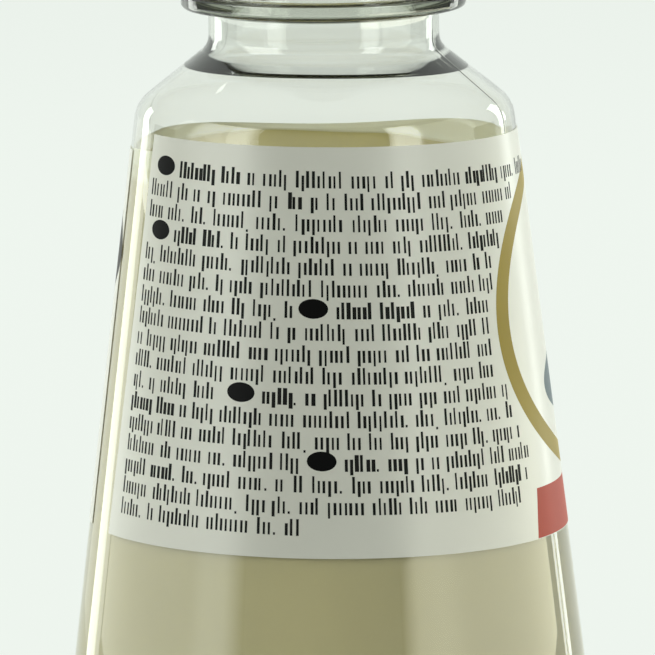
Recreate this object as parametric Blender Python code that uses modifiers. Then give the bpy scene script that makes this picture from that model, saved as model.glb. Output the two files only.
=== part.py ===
"""Squeeze bottle of mayonnaise: a clear, round, tapered bottle with its contents, label and flip-top cap.

Metres, +Z up. The bottle stands on z = 0 with its axis on Z. Azimuths are counted in degrees from -Y,
the side that carries the back panel of the label, towards +X.
"""

import math

import bmesh
import bpy
import numpy as np

MM = 0.001

# Heights above the standing surface
RING_UNDERSIDE = 130.4 * MM
FILL_LEVEL = 108.8 * MM
NECK_DROP = 5.46 * MM
RING_THICKNESS = 2.2 * MM
FINISH_HEIGHT = 15.0 * MM

# Radii of the bottle's outside
NECK_RADIUS = 17.0 * MM
NECK_BORE = 15.5 * MM
FINISH_RADIUS = 16.8 * MM
FINISH_BORE = 13.6 * MM
RING_RADIUS = 21.0 * MM
SHOULDER_RADIUS = 27.77 * MM
BODY_TAPER = math.radians(7.0)
SHOULDER_SLOPE = math.radians(38.7)
STANDING_RADIUS = 29.0 * MM
PUNT_RADIUS = 25.5 * MM
PUNT_DEPTH = 2.4 * MM
PUNT_CROWN = 0.8 * MM

# Roundings of the outside
RING_EDGE_ROUND = 0.8 * MM
NECK_ROUND = 3.0 * MM
SHOULDER_ROUND = 5.0 * MM
HEEL_ROUND = 7.0 * MM
PUNT_ROUND = 1.5 * MM

# Walls
SHOULDER_WALL = 0.8 * MM
HEEL_WALL = 0.8 * MM
BASE_WALL = 1.2 * MM
LEDGE_RISE = 0.4 * MM
CLEARANCE = 0.3 * MM

# Label, wrapped nearly all the way round and stuck on a little crooked
LABEL_TOP = 112.86 * MM
LABEL_BOTTOM = 53.97 * MM
LABEL_THICKNESS = 0.2 * MM
LABEL_START = -65.5
LABEL_END = 272.0
LABEL_DROP = 3.4 * MM
LABEL_DROP_START = 88.0
LABEL_DROP_END = 135.0
LABEL_SIDE_TILT = math.radians(0.83)
LABEL_BACK_TILT = math.radians(0.6)

# Flip-top cap
CAP_GAP = 1.45 * MM
CAP_RADIUS = 20.75 * MM
CAP_HEIGHT = 26.0 * MM
CAP_SEAM_HEIGHT = 17.0 * MM
CAP_SEAM_WIDTH = 0.6 * MM
CAP_SEAM_DEPTH = 0.5 * MM
CAP_EDGE_ROUND = 1.6 * MM
CAP_CROWN = 0.5 * MM
CAP_INNER_RADIUS = 18.6 * MM
SKIRT_ROUND = 0.3 * MM
HINGE_WIDTH = 11.0 * MM
HINGE_HEIGHT = 4.0 * MM
HINGE_DEPTH = 3.0 * MM
HINGE_PROUD = 0.2 * MM
THUMB_RADIUS = 11.0 * MM
THUMB_DEPTH = 1.6 * MM
THUMB_DROP = 1.5 * MM

# Fineness of the meshes
TURN_STEPS = 48
ARC_STEP = math.radians(15.0)
SHARP_ANGLE = math.radians(32.0)
LABEL_COLUMNS = 76
LABEL_ROWS = 3
SURFACE_RINGS = 7

# Heights and radii that follow from the dimensions above
NECK_CORNER_HEIGHT = RING_UNDERSIDE - NECK_DROP
SHOULDER_HEIGHT = NECK_CORNER_HEIGHT - (SHOULDER_RADIUS - NECK_RADIUS) * math.tan(SHOULDER_SLOPE)
BASE_RADIUS = SHOULDER_RADIUS + SHOULDER_HEIGHT * math.tan(BODY_TAPER)
RING_TOP = RING_UNDERSIDE + RING_THICKNESS
RIM_HEIGHT = RING_TOP + FINISH_HEIGHT
CAP_BOTTOM = RING_TOP + CAP_GAP


def unit(vector):
    """Return the vector at length one."""
    return vector / np.linalg.norm(vector)


def rounded_outline(corners):
    """Join (r, z, rounding) corners by straight lines, with an arc of the given radius at each corner."""
    points = []
    for index, (r, z, rounding) in enumerate(corners):
        corner = np.array([r, z])
        if not rounding:
            points.append(corner)
            continue
        back = unit(np.array(corners[index - 1][:2]) - corner)
        ahead = unit(np.array(corners[index + 1][:2]) - corner)
        half_angle = math.acos(np.clip(back @ ahead, -1.0, 1.0)) / 2
        centre = corner + unit(back + ahead) * rounding / math.sin(half_angle)
        turn = math.pi - 2 * half_angle
        reach = rounding / math.tan(half_angle)
        start = corner + back * reach - centre
        sign = math.copysign(1.0, back[1] * ahead[0] - back[0] * ahead[1])
        count = max(2, math.ceil(turn / ARC_STEP))
        for angle in np.linspace(0.0, turn, count + 1) * sign:
            spin = np.array([[math.cos(angle), -math.sin(angle)], [math.sin(angle), math.cos(angle)]])
            points.append(centre + spin @ start)
    return points


def inset(before, corner, after, wall):
    """Move a corner of an outline that runs down its outer side inwards, by the wall on both its lines."""
    first = unit(np.array(corner[:2]) - np.array(before[:2]))
    second = unit(np.array(after[:2]) - np.array(corner[:2]))
    first_normal = np.array([-first[1], first[0]])
    second_normal = np.array([-second[1], second[0]])
    shift = (first_normal + second_normal) / (1.0 + first_normal @ second_normal)
    return np.array(corner[:2]) - shift * wall


def taper_radius(z):
    """Give the outer radius of the tapered body at a height."""
    return SHOULDER_RADIUS + (SHOULDER_HEIGHT - z) * math.tan(BODY_TAPER)


def outer_corners():
    """List the corners of the bottle's outside, from the rim down to the middle of the base."""
    return [
        (FINISH_RADIUS, RIM_HEIGHT, 0.0),
        (FINISH_RADIUS, RING_TOP, 0.0),
        (RING_RADIUS, RING_TOP, 0.0),
        (RING_RADIUS, RING_UNDERSIDE, RING_EDGE_ROUND),
        (NECK_RADIUS, RING_UNDERSIDE, 0.0),
        (NECK_RADIUS, NECK_CORNER_HEIGHT, NECK_ROUND),
        (SHOULDER_RADIUS, SHOULDER_HEIGHT, SHOULDER_ROUND),
        (BASE_RADIUS, 0.0, HEEL_ROUND),
        (STANDING_RADIUS, 0.0, PUNT_ROUND),
        (PUNT_RADIUS, PUNT_DEPTH, PUNT_ROUND),
        (0.0, PUNT_DEPTH + PUNT_CROWN, 0.0),
    ]


def inner_corners(clearance=0.0):
    """List the corners of the bottle's inside, from the middle of the base up to the neck.

    A clearance keeps the outline that much further in, for what fills the bottle.
    """
    neck, shoulder, heel, standing, punt, middle = outer_corners()[5:]
    shoulder_in = inset(neck, shoulder, heel, SHOULDER_WALL + clearance)
    heel_in = inset(shoulder, heel, standing, HEEL_WALL + clearance)
    standing_in = inset(heel, standing, punt, BASE_WALL + clearance)
    punt_in = inset(standing, punt, middle, BASE_WALL + clearance)
    bore = NECK_RADIUS - NECK_BORE + clearance
    above_neck = (NECK_RADIUS, RING_UNDERSIDE)
    neck_in = inset(above_neck, neck, shoulder, bore)
    return [
        (0.0, middle[1] + BASE_WALL + clearance, 0.0),
        (*punt_in, PUNT_ROUND),
        (*standing_in, PUNT_ROUND),
        (*heel_in, HEEL_ROUND - HEEL_WALL),
        (*shoulder_in, SHOULDER_ROUND - SHOULDER_WALL),
        (*neck_in, NECK_ROUND + bore),
    ]


def plastic(name, colour, roughness, metallic=0.0):
    """Make a plain material."""
    material = bpy.data.materials.new(name)
    material.use_nodes = True
    shader = material.node_tree.nodes["Principled BSDF"]
    shader.inputs["Base Color"].default_value = (*colour, 1.0)
    shader.inputs["Roughness"].default_value = roughness
    shader.inputs["Metallic"].default_value = metallic
    return material


def add_object(name, mesh, collection, material=None):
    """Put a mesh into a collection as a named object."""
    item = bpy.data.objects.new(name, mesh)
    collection.objects.link(item)
    if material:
        mesh.materials.append(material)
    return item


def turned(name, outline, collection, material):
    """Turn an outline of (r, z) points about Z; it runs down its outer side."""
    mesh = bpy.data.meshes.new(name)
    points = [(r, 0.0, z) for r, z in outline]
    edges = [(index, index + 1) for index in range(len(points) - 1)]
    mesh.from_pydata(points, edges, [])
    item = add_object(name, mesh, collection, material)
    screw = item.modifiers.new("Turn", "SCREW")
    screw.axis = "Z"
    screw.angle = math.tau
    screw.steps = TURN_STEPS
    screw.render_steps = TURN_STEPS
    screw.use_merge_vertices = True
    screw.merge_threshold = 0.01 * MM
    screw.use_smooth_shade = True
    return item


def applied(item):
    """Replace an object's mesh by its evaluated mesh, and clear its modifiers."""
    depsgraph = bpy.context.evaluated_depsgraph_get()
    mesh = bpy.data.meshes.new_from_object(item.evaluated_get(depsgraph))
    item.modifiers.clear()
    item.data = mesh
    mesh.shade_smooth()
    mesh.set_sharp_from_angle(angle=SHARP_ANGLE)
    return item


def make_bottle(collection):
    """Clear bottle: an open-mouthed shell, turned in one piece from base to rim.

    The bore narrows by a ledge inside the ring, where the wide neck ends and the thick finish begins.
    """
    finish_inside = [
        (NECK_BORE, RING_UNDERSIDE, 0.0),
        (FINISH_BORE, RING_UNDERSIDE + LEDGE_RISE, 0.0),
        (FINISH_BORE, RIM_HEIGHT, 0.0),
    ]
    inside = rounded_outline([*inner_corners(), *finish_inside])
    outside = rounded_outline(outer_corners())
    clear = plastic("clear_bottle", (0.82, 0.87, 0.84), 0.06)
    return applied(turned("bottle", [*inside, *outside], collection, clear))


def surface_relief(x, y):
    """Give how far the mayonnaise stands above its level at a point: a mound at -X, a slump at +X and swells."""
    mound = 0.75 * MM * math.exp(-(((x + 9 * MM) / (8 * MM)) ** 2))
    slump = -1.0 * MM / (1.0 + math.exp(-(x - 12 * MM) / (3 * MM)))
    swell = 0.15 * MM * math.cos(x / (9 * MM) + 0.6) * math.cos(y / (11 * MM) - 0.4)
    return mound + slump + swell


def make_mayonnaise(collection):
    """Contents: a body that fills the bottle up to its level, with an uneven top."""
    corners = inner_corners(CLEARANCE)[:-1]
    shoulder = np.array(corners[-1][:2])
    heel = np.array(corners[-2][:2])
    share = (FILL_LEVEL - heel[1]) / (shoulder[1] - heel[1])
    rim = heel + (shoulder - heel) * share
    corners[-1] = (*rim, 0.0)
    sides = rounded_outline(corners)
    top = [(rim[0] * ring / SURFACE_RINGS, FILL_LEVEL) for ring in range(SURFACE_RINGS)]
    cream = plastic("mayonnaise", (0.80, 0.76, 0.56), 0.35)
    item = applied(turned("mayonnaise", [*top, *reversed(sides)], collection, cream))
    for vertex in item.data.vertices:
        if vertex.co.z > FILL_LEVEL - 0.01 * MM:
            vertex.co.z += surface_relief(vertex.co.x, vertex.co.y)
    return item


def label_top(azimuth):
    """Give the label's top edge before its tilt: it steps down softly to the other panel."""
    share = (azimuth - LABEL_DROP_START) / (LABEL_DROP_END - LABEL_DROP_START)
    share = min(max(share, 0.0), 1.0)
    return LABEL_TOP - LABEL_DROP * share**2 * (3.0 - 2.0 * share)


def make_label(collection):
    """Label: a thin sheet that follows the taper, with a bare strip between its two ends."""
    mesh = bpy.data.meshes.new("label")
    sheet = bmesh.new()
    bmesh.ops.create_grid(sheet, x_segments=LABEL_COLUMNS, y_segments=LABEL_ROWS, size=0.5)
    for vertex in sheet.verts:
        along = vertex.co.x + 0.5
        up = vertex.co.y + 0.5
        turn = LABEL_START + (LABEL_END - LABEL_START) * along
        z = LABEL_BOTTOM + (label_top(turn) - LABEL_BOTTOM) * up
        azimuth = math.radians(turn)
        radius = taper_radius(z) + CLEARANCE
        x = radius * math.sin(azimuth)
        y = -radius * math.cos(azimuth)
        lean = x * math.tan(LABEL_SIDE_TILT) + y * math.tan(LABEL_BACK_TILT)
        spread = (taper_radius(z - lean) + CLEARANCE) / radius
        vertex.co = (x * spread, y * spread, z - lean)
    sheet.to_mesh(mesh)
    sheet.free()
    item = add_object("label", mesh, collection, plastic("label", (0.83, 0.83, 0.80), 0.4))
    solidify = item.modifiers.new("Thickness", "SOLIDIFY")
    solidify.thickness = LABEL_THICKNESS
    solidify.offset = 1.0
    mesh.shade_smooth()
    return item


def make_box(name, size, centre, collection):
    """Add a box of a size about a centre."""
    mesh = bpy.data.meshes.new(name)
    box = bmesh.new()
    bmesh.ops.create_cube(box, size=1.0)
    bmesh.ops.scale(box, vec=size, verts=box.verts)
    bmesh.ops.translate(box, vec=centre, verts=box.verts)
    box.to_mesh(mesh)
    box.free()
    return add_object(name, mesh, collection)


def combine(item, tool, operation):
    """Cut a tool out of an item, or join it on, with a Boolean modifier."""
    boolean = item.modifiers.new(tool.name, "BOOLEAN")
    boolean.operation = operation
    boolean.solver = "EXACT"
    boolean.object = tool
    tool.hide_render = True
    tool.display_type = "WIRE"


def make_cap(collection, tools):
    """Flip-top cap, shut: a straight skirt over the finish, a seam under the lid, a hinge and a thumb scoop."""
    top = CAP_BOTTOM + CAP_HEIGHT
    seam = CAP_BOTTOM + CAP_SEAM_HEIGHT
    ceiling = RIM_HEIGHT + CLEARANCE
    groove = CAP_RADIUS - CAP_SEAM_DEPTH
    corners = [
        (0.0, ceiling, 0.0),
        (CAP_INNER_RADIUS, ceiling, 0.0),
        (CAP_INNER_RADIUS, CAP_BOTTOM, 0.0),
        (CAP_RADIUS, CAP_BOTTOM, SKIRT_ROUND),
        (CAP_RADIUS, seam, 0.0),
        (groove, seam, 0.0),
        (groove, seam + CAP_SEAM_WIDTH, 0.0),
        (CAP_RADIUS, seam + CAP_SEAM_WIDTH, 0.0),
        (CAP_RADIUS, top - CAP_CROWN, CAP_EDGE_ROUND),
        (0.0, top, 0.0),
    ]
    outline = rounded_outline(corners)[::-1]
    white = plastic("cap", (0.85, 0.84, 0.79), 0.35)
    item = applied(turned("cap", outline, collection, white))
    middle = seam + CAP_SEAM_WIDTH / 2
    hinge_y = -(CAP_RADIUS + HINGE_PROUD - HINGE_DEPTH / 2)
    hinge = make_box("hinge", (HINGE_WIDTH, HINGE_DEPTH, HINGE_HEIGHT), (0.0, hinge_y, middle), tools)
    combine(item, hinge, "UNION")
    mesh = bpy.data.meshes.new("thumb_scoop")
    ball = bmesh.new()
    bmesh.ops.create_uvsphere(ball, u_segments=32, v_segments=16, radius=THUMB_RADIUS)
    thumb_y = CAP_RADIUS + THUMB_RADIUS - THUMB_DEPTH
    bmesh.ops.translate(ball, vec=(0.0, thumb_y, seam - THUMB_DROP), verts=ball.verts)
    ball.to_mesh(mesh)
    ball.free()
    combine(item, add_object("thumb_scoop", mesh, tools), "DIFFERENCE")
    return item


def main():
    """Build the bottle, its contents, its label and its cap."""
    for item in list(bpy.data.objects):
        bpy.data.objects.remove(item, do_unlink=True)
    parts = bpy.data.collections.new("mayonnaise_squeeze_bottle")
    tools = bpy.data.collections.new("cutters")
    for collection in (parts, tools):
        bpy.context.scene.collection.children.link(collection)
    make_bottle(parts)
    make_mayonnaise(parts)
    make_label(parts)
    make_cap(parts, tools)


main()
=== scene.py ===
"""Studio scene of a clear, tapered squeeze bottle of mayonnaise.

Metres, +Z up, the bottle stands on z = 0 with its axis on Z. Azimuths are in degrees from -Y, the side with
the back panel of the label, towards +X. Each sub-assembly is a class with its sizes as fields; each finish is
a frozen dataclass that makes its own material.
"""

import logging
import math
from dataclasses import dataclass, field
from enum import Enum

import bpy
import numpy as np
from mathutils import Matrix, Vector


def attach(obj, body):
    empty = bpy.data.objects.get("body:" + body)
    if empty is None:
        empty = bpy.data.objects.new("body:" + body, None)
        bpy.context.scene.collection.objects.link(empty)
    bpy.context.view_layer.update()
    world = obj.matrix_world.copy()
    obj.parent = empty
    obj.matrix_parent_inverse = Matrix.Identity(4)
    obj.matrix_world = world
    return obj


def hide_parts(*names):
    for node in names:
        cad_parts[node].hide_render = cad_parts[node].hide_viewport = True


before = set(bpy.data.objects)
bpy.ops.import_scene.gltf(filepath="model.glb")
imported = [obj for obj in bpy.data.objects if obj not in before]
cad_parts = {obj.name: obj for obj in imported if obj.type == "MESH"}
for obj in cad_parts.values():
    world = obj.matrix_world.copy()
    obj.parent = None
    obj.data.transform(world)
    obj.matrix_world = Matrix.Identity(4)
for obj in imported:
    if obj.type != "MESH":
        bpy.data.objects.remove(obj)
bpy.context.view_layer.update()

MM = 0.001
CREASE = math.radians(50.0)
LAMP_COLOUR = (0.95, 1.0, 0.94)
log = logging.getLogger("bottle")

Array = np.ndarray
Item = bpy.types.Object
Material = bpy.types.Material
Node = bpy.types.Node
Tree = bpy.types.NodeTree
Pair = tuple[float, float]
Triple = tuple[float, float, float]
Colour = Triple


# ---- Surfaces --------------------------------------------------------------


def unit(vector: Array) -> Array:
    """Return the vector at length one."""
    return vector / np.linalg.norm(vector)


def rounded_outline(corners: list[Triple], arc_step: float, run_step: float) -> Array:
    """Join (r, z, rounding) corners by straight runs and arcs.

    At each corner the arc's centre lies on the bisector, at rounding / sin(half angle) from the corner, and
    the arc is swept in equal turns between the two points where it touches the runs.

    Args:
        corners: radius, height and rounding of each corner, in metres.
        arc_step: largest turn between two points of an arc, in radians.
        run_step: largest distance between two points of a straight run.

    Returns:
        Points as rows of (r, z).
    """
    arcs: list[Array] = []
    for index, (r, z, rounding) in enumerate(corners):
        corner = np.array([r, z])
        if not rounding:
            arcs.append(corner[None, :])
            continue
        back = unit(np.array(corners[index - 1][:2]) - corner)
        ahead = unit(np.array(corners[index + 1][:2]) - corner)
        half = math.acos(np.clip(back @ ahead, -1.0, 1.0)) / 2
        centre = corner + unit(back + ahead) * rounding / math.sin(half)
        start = corner + back * rounding / math.tan(half) - centre
        turn = (math.pi - 2 * half) * math.copysign(1.0, back[1] * ahead[0] - back[0] * ahead[1])
        angles = np.linspace(0.0, turn, max(3, math.ceil(abs(turn) / arc_step) + 1))
        cosine, sine = np.cos(angles), np.sin(angles)
        arc = np.stack([start[0] * cosine - start[1] * sine, start[0] * sine + start[1] * cosine], axis=1)
        arcs.append(centre + arc)
    points = [arcs[0]]
    for arc in arcs[1:]:
        last, first = points[-1][-1], arc[0]
        steps = max(1, math.ceil(float(np.linalg.norm(first - last)) / run_step))
        share = np.linspace(0.0, 1.0, steps + 1)[1:-1, None]
        points += [last + (first - last) * share, arc]
    return np.concatenate(points)


def inset(before: tuple, corner: tuple, after: tuple, wall: float) -> Array:
    """Move a corner of an outline that runs down its outer side inwards, by the wall on both its runs.

    The shift is (n1 + n2) / (1 + n1 . n2) times the wall, with n1 and n2 the outward normals of the two runs.

    Args:
        before: the corner before it, as radius, height and rounding.
        corner: the corner to move.
        after: the corner after it.
        wall: distance from the old runs to the new ones, in metres.

    Returns:
        Radius and height of the moved corner.
    """
    first = unit(np.array(corner[:2]) - np.array(before[:2]))
    second = unit(np.array(after[:2]) - np.array(corner[:2]))
    first_normal = np.array([-first[1], first[0]])
    second_normal = np.array([-second[1], second[0]])
    return np.array(corner[:2]) - (first_normal + second_normal) / (1.0 + first_normal @ second_normal) * wall


def around(radius: Array, height: Array, azimuth: Array) -> Array:
    """Place points by radius, height and azimuth, broadcast together: x = r sin a, y = -r cos a."""
    radius, height, azimuth = np.broadcast_arrays(radius, height, azimuth)
    return np.stack([radius * np.sin(azimuth), -radius * np.cos(azimuth), height], axis=-1)


def linked(name: str, data: bpy.types.ID) -> Item:
    """Make an object and link it to the scene.

    Args:
        name: the object's name.
        data: its mesh, lamp or camera.

    Returns:
        The object.
    """
    item = bpy.data.objects.new(name, data)
    bpy.context.scene.collection.objects.link(item)
    return item


def mesh_object(name: str, material: Material, points: Array, faces: list, smooth: bool = True) -> Item:
    """Make an object at the origin from points and faces.

    Args:
        name: the piece's name.
        material: its finish.
        points: vertices as rows of (x, y, z).
        faces: arrays of vertex numbers, one row a face.
        smooth: shade the faces smooth, but for edges sharper than CREASE.

    Returns:
        The object, linked to the scene.
    """
    mesh = bpy.data.meshes.new(name)
    rows = [row for block in faces for row in np.asarray(block).tolist()]
    mesh.from_pydata(np.asarray(points, float).reshape(-1, 3).tolist(), [], rows)
    if smooth:
        mesh.shade_smooth()
        mesh.set_sharp_from_angle(angle=CREASE)
    mesh.materials.append(material)
    return linked(name, mesh)


def turned_object(name: str, material: Material, rings: Array, first: float, last: float) -> Item:
    """Close a stack of rings, which runs down its outer side, by a pole at each end.

    Args:
        name: the piece's name.
        material: its finish.
        rings: points as rings by azimuth by (x, y, z).
        first: height of the point on the axis that closes the first ring.
        last: height of the one that closes the last ring.

    Returns:
        The closed object.
    """
    count, around_count = rings.shape[:2]
    index = np.arange(count * around_count).reshape(count, around_count)
    ahead = np.roll(index, -1, axis=1)
    quads = np.stack([index[:-1], index[1:], ahead[1:], ahead[:-1]], axis=-1).reshape(-1, 4)
    top = np.full(around_count, count * around_count)
    bottom = top + 1
    start = np.stack([top, index[0], ahead[0]], axis=-1)
    end = np.stack([index[-1], bottom, ahead[-1]], axis=-1)
    points = np.concatenate([rings.reshape(-1, 3), [[0.0, 0.0, first], [0.0, 0.0, last]]])
    return mesh_object(name, material, points, [quads, start, end])


def sheet_object(name: str, material: Material, outer: Array, inner: Array, closed: bool = False) -> Item:
    """Close two matching grids of points into a thin sheet with a rim.

    Args:
        name: the piece's name.
        material: its finish.
        outer: points of the outer face as rows by columns by (x, y, z); rows go down, columns with azimuth.
        inner: the matching points of the inner face.
        closed: the columns go right round and meet.

    Returns:
        The closed sheet.
    """
    rows, columns = outer.shape[:2]
    front = np.arange(rows * columns).reshape(rows, columns)
    back = front + rows * columns

    def stitched(a: Array, b: Array, c: Array, d: Array) -> Array:
        """Make one row of quads from four rows of corners."""
        return np.stack([a, b, c, d], axis=-1).reshape(-1, 4)

    if closed:
        front = np.concatenate([front, front[:, :1]], axis=1)
        back = np.concatenate([back, back[:, :1]], axis=1)
    faces = [
        stitched(front[:-1, :-1], front[1:, :-1], front[1:, 1:], front[:-1, 1:]),
        stitched(back[:-1, 1:], back[1:, 1:], back[1:, :-1], back[:-1, :-1]),
        stitched(front[0, 1:], back[0, 1:], back[0, :-1], front[0, :-1]),
        stitched(front[-1, :-1], back[-1, :-1], back[-1, 1:], front[-1, 1:]),
    ]
    if not closed:
        faces += [
            stitched(front[:-1, 0], back[:-1, 0], back[1:, 0], front[1:, 0]),
            stitched(front[1:, -1], back[1:, -1], back[:-1, -1], front[:-1, -1]),
        ]
    return mesh_object(name, material, np.concatenate([outer.reshape(-1, 3), inner.reshape(-1, 3)]), faces)


def curved_panel(
    name: str, material: Material, distance: float, thickness: float, heights: Array, turns: Array
) -> Item:
    """Make an upright sheet round the axis, whose face towards it lies at the distance."""
    faces = [around(np.array(distance + step), heights, turns) for step in (thickness, 0.0)]
    return sheet_object(name, material, *faces)


# ---- Materials -------------------------------------------------------------


def new_node(tree: Tree, kind: str, inputs: dict | None = None, **settings) -> Node:
    """Add a shader node.

    Args:
        tree: the node tree that it goes in.
        kind: its type's name, without ShaderNode in front.
        inputs: values of its inputs, by their names or numbers.
        settings: values of the node's own settings.

    Returns:
        The node.
    """
    node = tree.nodes.new(f"ShaderNode{kind}")
    for name, value in settings.items():
        setattr(node, name, value)
    return given(node, inputs or {})


def given(node: Node, inputs: dict) -> Node:
    """Set values of a node's inputs.

    Args:
        node: the node.
        inputs: the values, by the inputs' names or numbers.

    Returns:
        The same node.
    """
    for name, value in inputs.items():
        node.inputs[name].default_value = value
    return node


def join(source: Node, output: str, target: Node, entry: str | int) -> None:
    """Link a node's output to another node's input."""
    source.id_data.links.new(source.outputs[output], target.inputs[entry])


def principled(name: str, inputs: dict) -> tuple[Material, Node]:
    """Make a material with a Principled shader.

    Args:
        name: the material's name.
        inputs: values of the shader's inputs, by their names.

    Returns:
        The material and its shader.
    """
    material = bpy.data.materials.new(name)
    material.use_nodes = True
    return material, given(material.node_tree.nodes["Principled BSDF"], inputs)


@dataclass
class NodeGroups:
    """Shader node groups, each built once and then placed in the materials that use it."""

    built: dict[str, Tree] = field(default_factory=dict)

    def started(self, name: str, result: str, **inputs: str) -> Tree:
        """Start a group.

        Args:
            name: the group's name.
            result: the kind of socket that it puts out, as Result.
            inputs: the kinds of its inputs, by their names.

        Returns:
            The group, with its sockets and no nodes.
        """
        tree = bpy.data.node_groups.new(name, "ShaderNodeTree")
        for socket, kind in inputs.items():
            tree.interface.new_socket(socket, in_out="INPUT", socket_type=f"NodeSocket{kind}")
        tree.interface.new_socket("Result", in_out="OUTPUT", socket_type=f"NodeSocket{result}")
        self.built[name] = tree
        return tree

    def mottle(self) -> Tree:
        """Soft clouds in object space: a value about 0 that wanders between -1 and 1."""
        if "mottle" in self.built:
            return self.built["mottle"]
        tree = self.started("mottle", "Float", Scale="Float", Stretch="Vector")
        entry, result = tree.nodes.new("NodeGroupInput"), tree.nodes.new("NodeGroupOutput")
        place = new_node(tree, "TexCoord")
        stretched = new_node(tree, "VectorMath", operation="MULTIPLY")
        noise = new_node(tree, "TexNoise", {"Detail": 3.0})
        centred = new_node(tree, "MapRange", {"From Min": 0.3, "From Max": 0.7, "To Min": -1.0})
        join(place, "Object", stretched, 0)
        join(entry, "Stretch", stretched, 1)
        join(stretched, "Vector", noise, "Vector")
        join(entry, "Scale", noise, "Scale")
        join(noise, "Fac", centred, "Value")
        join(centred, "Result", result, "Result")
        return tree

    def tinted(self) -> Tree:
        """A colour made lighter or darker by a value: colour times (1 + value times amount)."""
        if "tinted" in self.built:
            return self.built["tinted"]
        tree = self.started("tinted", "Color", Colour="Color", Value="Float", Amount="Float")
        entry, result = tree.nodes.new("NodeGroupInput"), tree.nodes.new("NodeGroupOutput")
        change = new_node(tree, "Math", {2: 1.0}, operation="MULTIPLY_ADD")
        scaled = new_node(tree, "VectorMath", operation="SCALE")
        join(entry, "Value", change, 0)
        join(entry, "Amount", change, 1)
        join(entry, "Colour", scaled, 0)
        join(change, "Value", scaled, "Scale")
        join(scaled, "Vector", result, "Result")
        return tree


GROUPS = NodeGroups()


@dataclass(frozen=True)
class Finish:
    """A surface's colour and gloss, with soft clouds of a slightly other tone.

    Attributes:
        name: the material's name.
        colour: linear base colour.
        roughness: Principled roughness.
        clouds: how much the colour varies, as a share.
        cloud_scale: noise scale of the clouds.
        stretch: how the clouds are drawn out along X, Y and Z.
        relief: height of the fine relief, in metres.
        relief_scale: noise scale of the relief.
        shine: specular level; 0.5 is a plain plastic's.
    """

    name: str
    colour: Colour
    roughness: float
    clouds: float = 0.03
    cloud_scale: float = 60.0
    stretch: Triple = (1.0, 1.0, 1.0)
    relief: float = 0.0
    relief_scale: float = 400.0
    shine: float = 0.5

    def new_material(self) -> tuple[Material, Node]:
        """Make the material with its Principled shader."""
        return principled(self.name, {"Roughness": self.roughness, "Specular IOR Level": self.shine})

    def clouded(self, tree: Tree, scale: float) -> Node:
        """Place the clouds at a scale."""
        inputs = {"Scale": scale, "Stretch": self.stretch}
        return new_node(tree, "Group", inputs, node_tree=GROUPS.mottle())

    def dress(self, material: Material, shader: Node) -> None:
        """Feed the clouded colour and the fine relief to the shader.

        Args:
            material: the material.
            shader: its Principled shader.
        """
        tree = material.node_tree
        colour = (*self.colour, 1.0)
        given(shader, {"Base Color": colour})
        if self.clouds:
            inputs = {"Colour": colour, "Amount": self.clouds}
            tone = new_node(tree, "Group", inputs, node_tree=GROUPS.tinted())
            join(self.clouded(tree, self.cloud_scale), "Result", tone, "Value")
            join(tone, "Result", shader, "Base Color")
        if self.relief:
            bump = new_node(tree, "Bump", {"Distance": self.relief})
            join(self.clouded(tree, self.relief_scale), "Result", bump, "Height")
            join(bump, "Normal", shader, "Normal")

    def material(self) -> Material:
        """Make the finished material."""
        material, shader = self.new_material()
        self.dress(material, shader)
        return material


@dataclass(frozen=True)
class ClearPlastic(Finish):
    """Clear, slightly grey-green bottle plastic that lets lamps through to what it holds.

    Attributes:
        ior: refractive index.
        kept: colour whose complement is absorbed.
        density: absorption a metre, times the complement of kept.
        shadow: share of the light that its shadow lets through.
    """

    ior: float = 1.57
    kept: Colour = (0.38, 0.42, 0.30)
    density: float = 100.0
    shadow: float = 0.95

    def material(self) -> Material:
        """Make the glassy material, with a Transparent stand-in for shadow rays."""
        material, shader = self.new_material()
        tree = material.node_tree
        given(shader, {"Transmission Weight": 1.0, "IOR": self.ior})
        self.dress(material, shader)
        clear = new_node(tree, "BsdfTransparent", {"Color": (self.shadow, self.shadow, self.shadow, 1.0)})
        mixed = new_node(tree, "MixShader")
        absorbing = new_node(tree, "VolumeAbsorption", {"Color": (*self.kept, 1.0), "Density": self.density})
        join(new_node(tree, "LightPath"), "Is Shadow Ray", mixed, "Fac")
        join(shader, "BSDF", mixed, 1)
        join(clear, "BSDF", mixed, 2)
        join(mixed, "Shader", tree.nodes["Material Output"], "Surface")
        join(absorbing, "Volume", tree.nodes["Material Output"], "Volume")
        return material


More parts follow.
